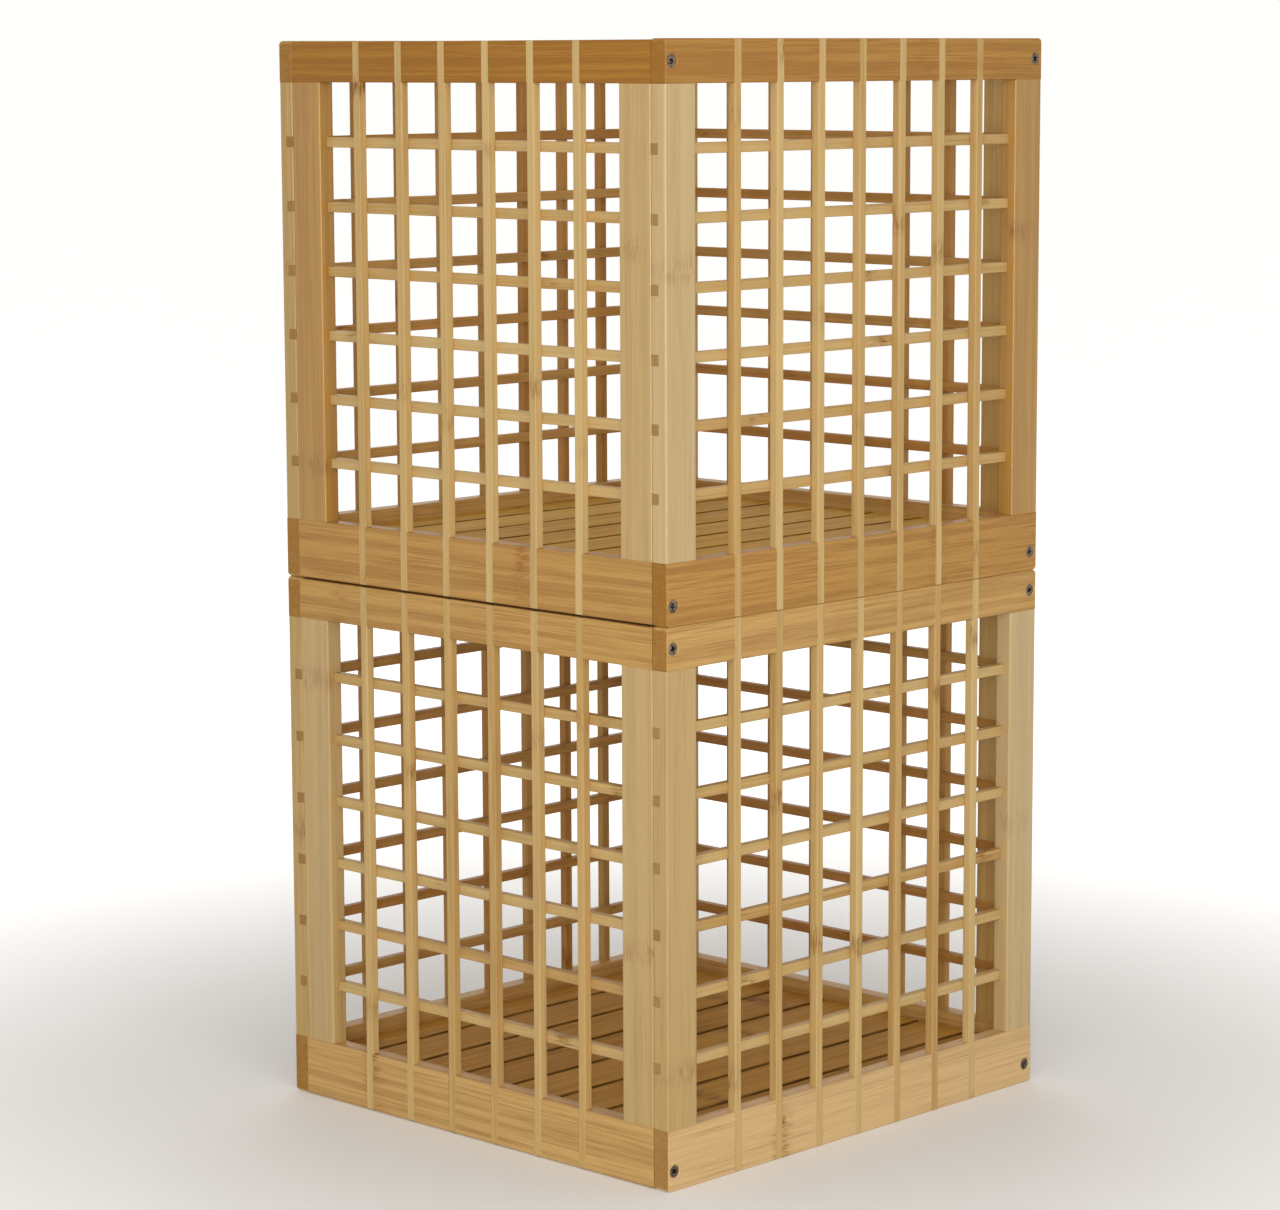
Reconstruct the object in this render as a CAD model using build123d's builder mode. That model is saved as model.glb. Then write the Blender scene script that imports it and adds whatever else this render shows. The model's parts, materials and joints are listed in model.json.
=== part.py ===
"""Two open-topped lattice storage crates in bamboo, standing one on the other."""

import os

from build123d import *

# The origin is at the middle of the stack, on the surface it stands on.
# +X runs to the right of the front panel, +Y towards the back, +Z up. All sizes are in millimetres.

# ---- One crate -------------------------------------------------------------------------------
crate_width = 350.0
crate_depth = 339.0
crate_height = 343.0
panel_thickness = 12.0
side_panel_shyness = 0.7      # the side panels end this far below the front's rim and above its foot

# ---- The frame of one panel: two rails with two stiles between them ----------------------------
top_rail_height = 26.0
bottom_rail_height = 38.0
stile_width = 26.0
eased_edge = 0.8
corner_radius = 3.0           # the outer corners of the front and back rails

# ---- The lattice: slats in the outer half of the thickness, bars behind them -------------------
slat_width = 6.0
slat_thickness = 6.0
front_slat_count = 7
front_slat_pitch = 37.6
side_slat_count = 6
side_slat_pitch = 38.7
bar_height = 6.5
bar_thickness = panel_thickness - slat_thickness
bar_count = 6
stick_edge = 0.4

# ---- The floor: boards that rest on a cleat along each side panel ------------------------------
floor_top = 28.7
board_thickness = 6.0
board_gap = 4.0
board_pitch = 42.3
full_board_count = 6
cleat_width = 10.0
cleat_height = 12.0

# ---- Countersunk wood screws through the front and back rails into the side rails --------------
screw_length = 30.0
shank_radius = 2.0
head_radius = 3.9
hole_mouth_radius = 4.5
screw_clearance = 0.05
tip_length = 5.0
top_screw_height = 330.0
bottom_screw_height = 12.3
recess_length = 4.4
recess_width = 0.9
recess_depth = 1.8

# ---- Worked out from the driving dimensions ----------------------------------------------------
inside_width = crate_width - 2 * panel_thickness
inside_depth = crate_depth - 2 * panel_thickness
clear_height = crate_height - top_rail_height - bottom_rail_height
bar_gap = (clear_height - bar_count * bar_height) / (bar_count + 1)
bar_heights = [
    bottom_rail_height + bar_gap + bar_height / 2 + place * (bar_gap + bar_height)
    for place in range(bar_count)
]
panel_ends = {
    "front": ("left", "right"),
    "right": ("front", "back"),
    "back": ("right", "left"),
    "left": ("back", "front"),
}
screw_inset = panel_thickness / 2
screw_heights = (bottom_screw_height, top_screw_height)
head_sink = hole_mouth_radius - head_radius
pilot_depth = screw_length + head_sink - panel_thickness + 1.0
board_width = board_pitch - board_gap
edge_board_width = (inside_depth - full_board_count * board_pitch - board_gap) / 2


def places(count, pitch):
    """Evenly spaced places, centred on zero."""
    return [(number - (count - 1) / 2) * pitch for number in range(count)]


def panel_face(side, base):
    """The plane of a panel's outer face: x along the panel, y up, z out of the crate."""
    outward, along, distance = {
        "front": ((0, -1, 0), (1, 0, 0), crate_depth / 2),
        "right": ((1, 0, 0), (0, 1, 0), crate_width / 2),
        "back": ((0, 1, 0), (-1, 0, 0), crate_depth / 2),
        "left": ((-1, 0, 0), (0, -1, 0), crate_width / 2),
    }[side]
    origin = (outward[0] * distance, outward[1] * distance, base)
    return Plane(origin=origin, x_dir=along, z_dir=outward)


def ease_both_faces(piece, face):
    """Round the edges around a piece's outer and inner faces."""
    faces = piece.faces().sort_by(Axis(face.origin, face.z_dir))
    fillet(faces[0].edges() + faces[-1].edges(), eased_edge)


def make_rail(side, face, bottom, top, slat_places, screw_height):
    """A rail along the top or the foot of a panel, housed for the slats and bored for the screws."""
    full_width = side in ("front", "back")
    length = crate_width if full_width else inside_depth
    middle = (bottom + top) / 2
    with BuildPart() as piece:
        with BuildSketch(face) as outline:
            with Locations((0, middle)):
                Rectangle(length, top - bottom)
            if full_width:
                corners = outline.vertices().sort_by(Axis.Y)
                outer_corners = corners[-2:] if middle > crate_height / 2 else corners[:2]
                fillet(outer_corners, corner_radius)
        extrude(amount=-panel_thickness)
        ease_both_faces(piece, face)
        with BuildSketch(face):
            with Locations(*[(place, middle) for place in slat_places]):
                Rectangle(slat_width, top - bottom)
        extrude(amount=-slat_thickness, mode=Mode.SUBTRACT)
        if full_width:
            for screw_place in (screw_inset - length / 2, length / 2 - screw_inset):
                mouth = face.from_local_coords((screw_place, screw_height, 0))
                with Locations(Plane(origin=mouth, z_dir=face.z_dir)):
                    CounterSinkHole(
                        radius=shank_radius + screw_clearance,
                        counter_sink_radius=hole_mouth_radius,
                        counter_sink_angle=90,
                        depth=panel_thickness * 2,
                    )
        else:
            for end in (-1, 1):
                mouth = face.from_local_coords((end * length / 2, screw_height, -panel_thickness / 2))
                with Locations(Plane(origin=mouth, z_dir=face.x_dir * end)):
                    Hole(radius=shank_radius + screw_clearance, depth=pilot_depth)
    return piece


def make_stile(face, place):
    """An upright between the two rails, notched across its inner face for each bar."""
    with BuildPart() as piece:
        with BuildSketch(face):
            with Locations((place, bottom_rail_height + clear_height / 2)):
                Rectangle(stile_width, clear_height)
        extrude(amount=-panel_thickness)
        ease_both_faces(piece, face)
        with BuildSketch(face.offset(-slat_thickness)):
            with Locations(*[(place, height) for height in bar_heights]):
                Rectangle(stile_width, bar_height)
        extrude(amount=-bar_thickness, mode=Mode.SUBTRACT)
    return piece


def make_slats(face, slat_places, bottom, top):
    """The upright strips of one panel, flush with its outer face."""
    with BuildPart() as piece:
        with BuildSketch(face):
            with Locations(*[(place, (bottom + top) / 2) for place in slat_places]):
                Rectangle(slat_width, top - bottom)
        extrude(amount=-slat_thickness)
        fillet(piece.edges().filter_by(Axis.Z), stick_edge)
    return piece


def make_bars(face, length):
    """The level strips of one panel, flush with its inner face and let through the stiles."""
    with BuildPart() as piece:
        with BuildSketch(face.offset(-slat_thickness)):
            with Locations(*[(0, height) for height in bar_heights]):
                Rectangle(length, bar_height)
        extrude(amount=-bar_thickness)
        fillet(piece.edges().filter_by(Axis(face.origin, face.x_dir)), stick_edge)
    return piece


def make_floor_boards(base):
    """Boards laid side by side from one side panel to the other, the outer two ripped narrower."""
    edge_place = (inside_depth - edge_board_width) / 2
    with BuildPart() as piece:
        with BuildSketch(Plane.XY.offset(base + floor_top)):
            with Locations(*[(0, place) for place in places(full_board_count, board_pitch)]):
                Rectangle(inside_width, board_width)
            with Locations((0, -edge_place), (0, edge_place)):
                Rectangle(inside_width, edge_board_width)
        extrude(amount=-board_thickness)
        fillet(piece.edges().filter_by(Axis.X), stick_edge)
    return piece


def make_cleat(base, side):
    """The ledge along a side panel's foot that the boards are glued down on."""
    outward = -1 if side == "left" else 1
    place = outward * (inside_width - cleat_width) / 2
    with BuildPart() as piece:
        with BuildSketch(Plane.XY.offset(base + floor_top - board_thickness)):
            with Locations((place, 0)):
                Rectangle(cleat_width, inside_depth)
        extrude(amount=-cleat_height)
        fillet(piece.edges().filter_by(Axis.Y), stick_edge)
    return piece


def make_screw():
    """One countersunk screw, its axis on Z and the rail's outer face at zero height."""
    cone_depth = hole_mouth_radius - shank_radius
    with BuildPart() as piece:
        with BuildSketch(Plane.XZ):
            with BuildLine():
                Polyline(
                    (0, -head_sink),
                    (head_radius, -head_sink),
                    (shank_radius, -cone_depth),
                    (shank_radius, tip_length - screw_length),
                    (0, -screw_length),
                    close=True,
                )
            make_face()
        revolve(axis=Axis.Z)
        with BuildSketch(Plane.XY.offset(-head_sink)):
            Rectangle(recess_length, recess_width)
            Rectangle(recess_width, recess_length)
        extrude(amount=-recess_depth, mode=Mode.SUBTRACT)
    return piece


def make_screws(base):
    """The eight screws of one crate, four through the front and four through the back."""
    one_screw = make_screw()
    with BuildPart() as piece:
        for side in ("front", "back"):
            face = panel_face(side, base)
            for height in screw_heights:
                for place in (screw_inset - crate_width / 2, crate_width / 2 - screw_inset):
                    mouth = face.from_local_coords((place, height, 0))
                    with Locations(Plane(origin=mouth, z_dir=face.z_dir)):
                        add(one_screw.part)
    return piece


def keep(piece, name):
    """Label a finished piece and write it to its own file."""
    piece.part.label = name
    export_step(piece.part, f"parts/{name}.step")


os.makedirs("parts", exist_ok=True)

for crate, base in (("lower", 0.0), ("upper", crate_height)):
    for side in ("front", "right", "back", "left"):
        face = panel_face(side, base)
        if side in ("front", "back"):
            foot, rim, length = 0.0, crate_height, crate_width
            slat_places = places(front_slat_count, front_slat_pitch)
        else:
            foot, rim, length = side_panel_shyness, crate_height - side_panel_shyness, inside_depth
            slat_places = places(side_slat_count, side_slat_pitch)
        top_rail = make_rail(
            side, face, crate_height - top_rail_height, rim, slat_places, top_screw_height
        )
        keep(top_rail, f"{crate}_{side}_top_rail")
        bottom_rail = make_rail(
            side, face, foot, bottom_rail_height, slat_places, bottom_screw_height
        )
        keep(bottom_rail, f"{crate}_{side}_bottom_rail")
        stile_place = (length - stile_width) / 2
        start, end = panel_ends[side]
        keep(make_stile(face, -stile_place), f"{crate}_{side}_{start}_stile")
        keep(make_stile(face, stile_place), f"{crate}_{side}_{end}_stile")
        keep(make_slats(face, slat_places, foot, rim), f"{crate}_{side}_slats")
        keep(make_bars(face, length), f"{crate}_{side}_bars")
    keep(make_floor_boards(base), f"{crate}_floor_boards")
    for side in ("left", "right"):
        keep(make_cleat(base, side), f"{crate}_{side}_floor_cleat")
    keep(make_screws(base), f"{crate}_panel_screws")
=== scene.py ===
# %% [markdown]
# # Two lattice crates in lacquered bamboo
# The object is a pair of open-topped storage crates, one standing on the other. Each crate is four
# railed panels of crossing sticks, a floor of boards and eight countersunk screws. The CAD model gives
# every piece its place and size. This file gives each stick of bamboo its eased edges, its own grain and
# its lacquer, and turns and slots the screws.

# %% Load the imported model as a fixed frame
import json
import math

import bpy
import numpy as np
from mathutils import Matrix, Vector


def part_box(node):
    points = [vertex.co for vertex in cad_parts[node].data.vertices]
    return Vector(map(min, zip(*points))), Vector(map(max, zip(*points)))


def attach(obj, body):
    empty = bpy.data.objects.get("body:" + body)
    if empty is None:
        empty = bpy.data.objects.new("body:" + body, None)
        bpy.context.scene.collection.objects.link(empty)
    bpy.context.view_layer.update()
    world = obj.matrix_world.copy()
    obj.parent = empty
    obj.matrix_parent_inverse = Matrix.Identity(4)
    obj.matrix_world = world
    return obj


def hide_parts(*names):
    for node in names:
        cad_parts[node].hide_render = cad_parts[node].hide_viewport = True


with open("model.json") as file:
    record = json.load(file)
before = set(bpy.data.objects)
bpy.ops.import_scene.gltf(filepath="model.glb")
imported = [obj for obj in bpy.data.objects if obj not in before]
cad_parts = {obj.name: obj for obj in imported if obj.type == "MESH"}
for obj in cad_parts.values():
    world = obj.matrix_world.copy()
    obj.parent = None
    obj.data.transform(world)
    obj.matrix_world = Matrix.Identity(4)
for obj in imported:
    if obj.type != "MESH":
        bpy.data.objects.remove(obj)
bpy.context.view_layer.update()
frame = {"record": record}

MM = 0.001
SIDES = ("front", "right", "back", "left")
CRATES = ("lower", "upper")
rng = np.random.default_rng(27)

# %% [markdown]
# ## The camera
# The crates are seen corner-on from just above the middle, at the height of the upper rim, with a long
# lens. A long lens keeps the uprights almost parallel, which is how furniture is usually shown. A camera
# can be aimed with a Track To constraint or with its own matrix. The matrix is used here, because the
# slight roll of a hand-levelled camera is then one more number.

# %% Camera
LENS_MM = 107.2
SENSOR_MM = 36
CAMERA_PLACE = (-1.7790, -1.6946, 0.6771)
YAW_DEG = 46.04
PITCH_DOWN_DEG = 8.23
ROLL_DEG = -0.216
FARTHEST_SEEN = 60


def aim(yaw, pitch, roll):
    """A camera's right, up and backward directions from its heading, its downward pitch and its roll."""
    forward = np.array([np.sin(yaw) * np.cos(pitch), np.cos(yaw) * np.cos(pitch), -np.sin(pitch)])
    level = np.array([np.cos(yaw), -np.sin(yaw), 0.0])
    upright = np.cross(level, forward)
    right = np.cos(roll) * level + np.sin(roll) * upright
    up = np.cos(roll) * upright - np.sin(roll) * level
    return np.column_stack([right, up, -forward])


camera = bpy.data.objects.new("camera", bpy.data.cameras.new("camera"))
bpy.context.scene.collection.objects.link(camera)
camera.data.lens = LENS_MM
camera.data.sensor_width = SENSOR_MM
camera.data.clip_end = FARTHEST_SEEN
camera_matrix = np.eye(4)
camera_matrix[:3, :3] = aim(*np.radians([YAW_DEG, PITCH_DOWN_DEG, ROLL_DEG]))
camera_matrix[:3, 3] = CAMERA_PLACE
camera.matrix_world = Matrix(camera_matrix.tolist())
bpy.context.scene.camera = camera
print("camera distance in metres:", round(float(np.hypot(*CAMERA_PLACE[:2])), 3))

# %% [markdown]
# ## Colours
# Colours are written as the sRGB hex values that a paint chart gives. Shaders work in linear light, so
# one function turns a hex value into a linear colour.


# %% From hex to linear colour
def linear(hex_colour):
    """Each channel: its value over 12.92 near black, and ((value + 0.055) / 1.055) to the 2.4 above."""
    value = np.array([int(hex_colour[i : i + 2], 16) for i in (1, 3, 5)]) / 255
    curve = np.where(value <= 0.04045, value / 12.92, ((value + 0.055) / 1.055) ** 2.4)
    return (*curve.tolist(), 1.0)


print("a middle grey, #808080, reflects", round(linear("#808080")[0], 3))

# %% [markdown]
# ## A small helper for shader nodes
# A procedural material is a graph. Each node is added with its settings, and its inputs are given either
# as a value or as the output of an earlier node, which is then linked. The helper hands back one output,
# so that calls can feed each other.


# %% Add one node with its settings and links
def add(tree, kind, settings=None, out=0, **inputs):
    """Adds a ShaderNode of a kind and returns an output. Inputs are sockets by name, with _ for a space,
    or in0, in1 for sockets by number."""
    node = tree.nodes.new("ShaderNode" + kind)
    for name, value in (settings or {}).items():
        setattr(node, name, value)
    for name, value in inputs.items():
        key = int(name[2:]) if name[:2] == "in" and name[2:].isdigit() else name.replace("_", " ")
        if isinstance(value, bpy.types.NodeSocket):
            tree.links.new(value, node.inputs[key])
        else:
            node.inputs[key].default_value = value
    return node.outputs[out] if node.outputs else None


TIMES = {"operation": "MULTIPLY"}
TIMES_UP_TO_ONE = {"operation": "MULTIPLY", "use_clamp": True}
PLUS = {"operation": "ADD"}
SMOOTH = {"interpolation_type": "SMOOTHSTEP"}
BLEND = {"data_type": "RGBA"}
COLOUR_OUT = 2

# %% [markdown]
# ## Bamboo, sanded and lacquered
# These sticks are solid laminated bamboo. Its fibres run dead straight along each stick as fine darker
# streaks. Every 300 mm or so the culm had a node, which crosses the stick as a patch of short brown
# dashes where the fibres knot together. Cut across, the fibres show as dots on darker end grain. A satin
# clear lacquer gives a soft, wide highlight.
#
# An image of bamboo could be wrapped on, but a procedural one has no seams and cuts through the stick
# like the real thing. Each stick carries a `grain` attribute: its place along, across and through the
# stick in metres, moved by a different amount for each stick so that no two match. Noise that is
# stretched along the first of these makes streaks on the faces and dots on the ends, all from one
# pattern. The finest real fibres, about 0.2 mm, would not show, so the finest drawn are 0.5 mm wide.

# %% Noise with spots of a real size
# Each pattern: its spots' length and width, how many finer layers it has, and a seed that moves it.
FIBRES = (22 * MM, 0.5 * MM, 2.0, 5.3)
LINES = (70 * MM, 0.8 * MM, 3.0, 0.0)
CLUSTERS = (110 * MM, 9 * MM, 1.0, 12.4)
BANDS = (450 * MM, 5 * MM, 1.0, 7.9)
RAGS = (60 * MM, 1.1 * MM, 2.0, 3.7)
DASHES = (8 * MM, 0.8 * MM, 2.0, 9.1)
STAINS = (9 * MM, 6 * MM, 1.0, 21.0)
PATCHES = (90 * MM, 13 * MM, 0.0, 27.0)
STRENGTHS = (150 * MM, 90 * MM, 0.0, 33.0)
SPOT_SOFTNESS = 0.55


def streaks(tree, place, length, width, detail, seed):
    """Noise whose spots are `length` long and `width` wide, both in metres."""
    size = (1 / length, 1 / width, 1 / width)
    scaled = add(tree, "Mapping", Vector=place, Scale=size, Location=(seed, seed, seed))
    return add(tree, "TexNoise", Vector=scaled, Scale=1.0, Detail=detail, Roughness=SPOT_SOFTNESS)


print("finest fibres drawn, in mm:", FIBRES[1] / MM)

# %% [markdown]
# ## Straight grain
# Darker wood shows at three scales: fine fibres, longer lines that come in clusters, and broad soft
# bands. Their shares are added up, and the sum mixes a darker colour into the ground. The ground itself
# depends on the stick's tone. Bamboo turns from pale to caramel when it is steamed, and the streaks of
# a caramel stick stand out more boldly than those of a pale one.

# %% Ground colour, fibres, lines and bands
FIBRE_SHARE = 0.40
LINE_SHARE = 0.85
BAND_SHARE = 0.45
QUIET_CLUSTER = 0.25
PALE_BOLDNESS = 0.45
CARAMEL_BOLDNESS = 1.2
STREAK_DEPTH = 0.5


def straight_grain(tree, place, tone, fibres, grounds, streak, contrast):
    """The ground colour for a tone, mixed towards the streak's colour by the sum of the three shares."""
    lines = streaks(tree, place, *LINES)
    clusters = streaks(tree, place, *CLUSTERS)
    bands = streaks(tree, place, *BANDS)
    fibre_share = add(tree, "MapRange", Value=fibres, From_Min=0.3, From_Max=0.7, To_Max=FIBRE_SHARE)
    line_share = add(
        tree, "MapRange", SMOOTH, Value=lines, From_Min=0.44, From_Max=0.66, To_Max=LINE_SHARE
    )
    busy = add(
        tree, "MapRange", SMOOTH, Value=clusters, From_Min=0.36, From_Max=0.64, To_Min=QUIET_CLUSTER
    )
    line_share = add(tree, "Math", TIMES, in0=line_share, in1=busy)
    band_share = add(
        tree, "MapRange", SMOOTH, Value=bands, From_Min=0.4, From_Max=0.62, To_Max=BAND_SHARE
    )
    share = add(tree, "Math", PLUS, in0=line_share, in1=fibre_share)
    share = add(tree, "Math", PLUS, in0=share, in1=band_share)
    boldest = CARAMEL_BOLDNESS * contrast
    boldness = add(tree, "MapRange", Value=tone, To_Min=PALE_BOLDNESS * contrast, To_Max=boldest)
    share = add(tree, "Math", TIMES_UP_TO_ONE, in0=share, in1=boldness)

    pale, honey, caramel = [linear(colour) for colour in grounds]
    lower_half = add(tree, "MapRange", Value=tone, From_Max=0.5)
    upper_half = add(tree, "MapRange", Value=tone, From_Min=0.5)
    ground = add(tree, "Mix", BLEND, COLOUR_OUT, in0=lower_half, in6=pale, in7=honey)
    ground = add(tree, "Mix", BLEND, COLOUR_OUT, in0=upper_half, in6=ground, in7=caramel)
    darker = add(tree, "Mix", BLEND, COLOUR_OUT, in0=STREAK_DEPTH, in6=ground, in7=linear(streak))
    return add(tree, "Mix", BLEND, COLOUR_OUT, in0=share, in6=ground, in7=darker)


print("most that fibres, lines and bands add up to:", FIBRE_SHARE + LINE_SHARE + BAND_SHARE)

# %% [markdown]
# ## The nodes of the culm
# A node shows as short brown dashes on a soft stain, thickest in its middle and with no clean edge. A
# ring drawn across the stick would look like a painted stripe. So the distance to the node is first made
# ragged by noise, and some nodes, and some parts of one node, are left fainter than others.

# %% A ragged patch of dashes at each node
NODE_SPACING = 310 * MM
NODE_REACH = 12 * MM
NODE_RAGGED = 12 * MM
DASH_SHARE = 0.7
STAIN_SHARE = 0.4
FAINTEST_PART = 0.35
FAINTEST_NODE = 0.5


def culm_nodes(tree, place, colour, deep):
    """A colour, mixed towards the deep one by dashes plus stain, times how near the ragged node is."""
    ragged = streaks(tree, place, *RAGS)
    bend = add(tree, "MapRange", Value=ragged, To_Min=-NODE_RAGGED, To_Max=NODE_RAGGED)
    along = add(tree, "SeparateXYZ", Vector=place)
    bent = add(tree, "Math", PLUS, in0=along, in1=bend)
    distance = add(tree, "Math", {"operation": "PINGPONG"}, in0=bent, in1=NODE_SPACING / 2)
    near = add(
        tree, "MapRange", SMOOTH, Value=distance, From_Max=NODE_REACH, To_Min=1.0, To_Max=0.0
    )
    dashes = streaks(tree, place, *DASHES)
    dashes = add(
        tree, "MapRange", SMOOTH, Value=dashes, From_Min=0.42, From_Max=0.62, To_Max=DASH_SHARE
    )
    stain = streaks(tree, place, *STAINS)
    stain = add(tree, "MapRange", SMOOTH, Value=stain, From_Min=0.4, From_Max=0.6, To_Max=STAIN_SHARE)
    knot = add(tree, "Math", PLUS, in0=dashes, in1=stain)
    patchy = streaks(tree, place, *PATCHES)
    patchy = add(
        tree, "MapRange", SMOOTH, Value=patchy, From_Min=0.4, From_Max=0.58, To_Min=FAINTEST_PART
    )
    knot = add(tree, "Math", TIMES, in0=knot, in1=patchy)
    strength = streaks(tree, place, *STRENGTHS)
    strength = add(
        tree, "MapRange", SMOOTH, Value=strength, From_Min=0.35, From_Max=0.6, To_Min=FAINTEST_NODE
    )
    knot = add(tree, "Math", TIMES, in0=knot, in1=strength)
    knot = add(tree, "Math", TIMES_UP_TO_ONE, in0=knot, in1=near)
    return add(tree, "Mix", BLEND, COLOUR_OUT, in0=knot, in6=colour, in7=linear(deep))


print("a node every", NODE_SPACING / MM, "mm")

# %% [markdown]
# ## Cut ends and lacquer
# End grain drinks the lacquer and goes darker, with the fibres as dots. On the long faces the lacquer is
# satin, a little duller along the open fibres, which also dimple it. Lacquer is drawn as a thin coat on
# a shader whose own shine is low. The stiles have the most of it, and the floor boards the least.

# %% The bamboo material and its finishes
LACQUER_IOR = 1.5
COAT = 0.1
COAT_ROUGHNESS = 0.2
SHINE = 0.15

# Roughness: that of bare wood, what gloss takes off it, and how much smoother it is between fibres.
BARE_ROUGHNESS = 0.7
POLISH = 0.15
FIBRE_POLISH = 0.14
DIMPLE_DEPTH = 0.1 * MM
DIMPLE_STRENGTH = 0.25


def bamboo(name, pale, honey, caramel, streak, deep, end, contrast, gloss):
    """Lacquered bamboo: the grounds of its palest, its middling and its most caramel stick, then the
    colours of its streaks, its nodes and its end grain, which on the boards' sides is painted shade in
    the gaps. Gloss is how much lacquer lies on it."""
    material = bpy.data.materials.new(name)
    material.use_nodes = True
    tree = material.node_tree
    tree.nodes.clear()
    place = add(tree, "Attribute", {"attribute_name": "grain"}, "Vector")
    tone = add(tree, "Attribute", {"attribute_name": "tone"}, "Fac")
    cut = add(tree, "Attribute", {"attribute_name": "cut_end_and_gap_shade"}, "Fac")
    fibres = streaks(tree, place, *FIBRES)
    colour = straight_grain(tree, place, tone, fibres, (pale, honey, caramel), streak, contrast)
    colour = culm_nodes(tree, place, colour, deep)
    dots = add(
        tree, "MapRange", SMOOTH, Value=fibres, From_Min=0.4, From_Max=0.62, To_Min=0.6, To_Max=0.95
    )
    cut = add(tree, "Math", TIMES, in0=cut, in1=dots)
    # The end colour: end grain on the sticks' ends, and painted shade on the boards' sides, where it
    # darkens the gaps.
    colour = add(tree, "Mix", BLEND, COLOUR_OUT, in0=cut, in6=colour, in7=linear(end))

    dullest = BARE_ROUGHNESS - POLISH * gloss
    shiniest = dullest - FIBRE_POLISH
    roughness = add(
        tree, "MapRange", Value=fibres, From_Min=0.3, From_Max=0.7, To_Min=shiniest, To_Max=dullest
    )
    bump = add(
        tree,
        "Bump",
        {"invert": True},
        Strength=DIMPLE_STRENGTH,
        Distance=DIMPLE_DEPTH,
        Height=fibres,
    )
    shader = add(
        tree,
        "BsdfPrincipled",
        Base_Color=colour,
        Roughness=roughness,
        IOR=LACQUER_IOR,
        Coat_Weight=COAT * gloss**2,
        Specular_IOR_Level=SHINE * gloss,
        Coat_Roughness=COAT_ROUGHNESS,
        Normal=bump,
    )
    add(tree, "OutputMaterial", Surface=shader)
    return material


rail_bamboo = bamboo(
    "caramel_bamboo_lacquered",
    "#e4c18d", "#d0a764", "#b17d2d", "#7c4614", "#9a642a", "#94621a", 1.15, 0.8,
)
stile_bamboo = bamboo(
    "blond_bamboo_lacquered",
    "#cab07f", "#be9b59", "#b7893d", "#8a5e22", "#94682c", "#a57e40", 0.8, 2.0,
)
strip_bamboo = bamboo(
    "straw_bamboo_strip_lacquered",
    "#d2b47a", "#c69c5c", "#b67c3a", "#8c6020", "#865616", "#92703a", 1.1, 0.8,
)
# The floor boards are two copies of one bamboo: the lower crate's is darker, as painted shade under the
# upper floor, and the upper crate's is paler, as painted light through its open top.
shaded_lower_board_bamboo = bamboo(
    "brown_bamboo_board_painted_shade",
    "#d4a148", "#c48c36", "#ae7520", "#7a460c", "#5a360a", "#4c3212", 1.4, 0.25,
)
lit_upper_board_bamboo = bamboo(
    "yellow_bamboo_board_painted_light",
    "#e2b551", "#d19f3e", "#ba8426", "#8a560f", "#5a360a", "#4c3212", 1.4, 0.25,
)
board_bamboo = {"lower": shaded_lower_board_bamboo, "upper": lit_upper_board_bamboo}
print("shader nodes in each bamboo:", len(rail_bamboo.node_tree.nodes))

# %% [markdown]
# ## The section of a stick
# Every wooden piece is a straight stick with a rounded-rectangle section. A cube with a Bevel modifier
# would be quick, but all its edges would be eased alike. Here the section is carried along the stick as
# a surface of two parameters, place along and place around, so that an edge can be rounder where hands
# meet it and almost sharp where it meets the next stick.

# %% Rounded rectangles
CORNER_POINTS = 4
TURN_RIGHT = np.array([1, 0, 0, 1])
TURN_UP = np.array([1, 1, 0, 0])


def sections(low, high, radii):
    """Rounded rectangles, one a row. A corner's arc is its centre plus its radius times (cos, sin)."""
    quarter = np.linspace(0, np.pi / 2, CORNER_POINTS)
    turn = quarter[None, :] + np.arange(4)[:, None] * np.pi / 2
    sideways = np.where(TURN_RIGHT, high[:, :1], low[:, :1])
    upwards = np.where(TURN_UP, high[:, 1:], low[:, 1:])
    inward = np.stack([1 - 2 * TURN_RIGHT, 1 - 2 * TURN_UP], axis=-1)
    centre = np.stack([sideways, upwards], axis=-1) + inward * radii[..., None]
    arc = np.stack([np.cos(turn), np.sin(turn)], axis=-1)
    points = centre[:, :, None, :] + radii[:, :, None, None] * arc
    return points.reshape(len(low), -1, 2)


def corners_on(along, axis, sign):
    """The numbers of the two corners of a section that lie on one face of a stick."""
    sideways = axis == (along + 1) % 3
    wanted = TURN_RIGHT if sideways else TURN_UP
    return [corner for corner in range(4) if wanted[corner] == (sign > 0)]


def skin(rings, around):
    """The faces over a grid of points: a quad between neighbours on two rings, and a cap at each end."""
    grid = np.arange(rings * around).reshape(rings, around)
    rolled = np.roll(grid, -1, axis=1)
    quads = np.stack([grid[:-1], rolled[:-1], rolled[1:], grid[1:]], axis=-1).reshape(-1, 4)
    return quads.tolist() + [grid[0, ::-1].tolist(), grid[-1].tolist()]


print("points round a stick:", 4 * CORNER_POINTS)

# %% [markdown]
# ## The section carried along
# The last few sections of a stick shrink along a quarter circle, so its ends are rounded over like its
# edges. The front and back rails also come down at their corners, along a larger quarter circle. Beyond
# that, sections are only needed just before and after each stretch where another stick meets this one
# and its edges are left almost sharp. Between those places one long quad is enough, because the stick is
# straight.

# %% From sections to a stick
# Rings round an end, and on a crown, whose first ring stands at this share of its quarter circle.
END_RINGS = 4
CROWN_RINGS = 6
CROWN_FIRST = 0.2

# In a tight stretch: the edges' radius, how far in they reach it, and where the stretch begins for them.
TIGHT_EASE = 0.08 * MM
TIGHT_FADE = 0.4 * MM
TIGHT_EDGE = 0.1 * MM

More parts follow.
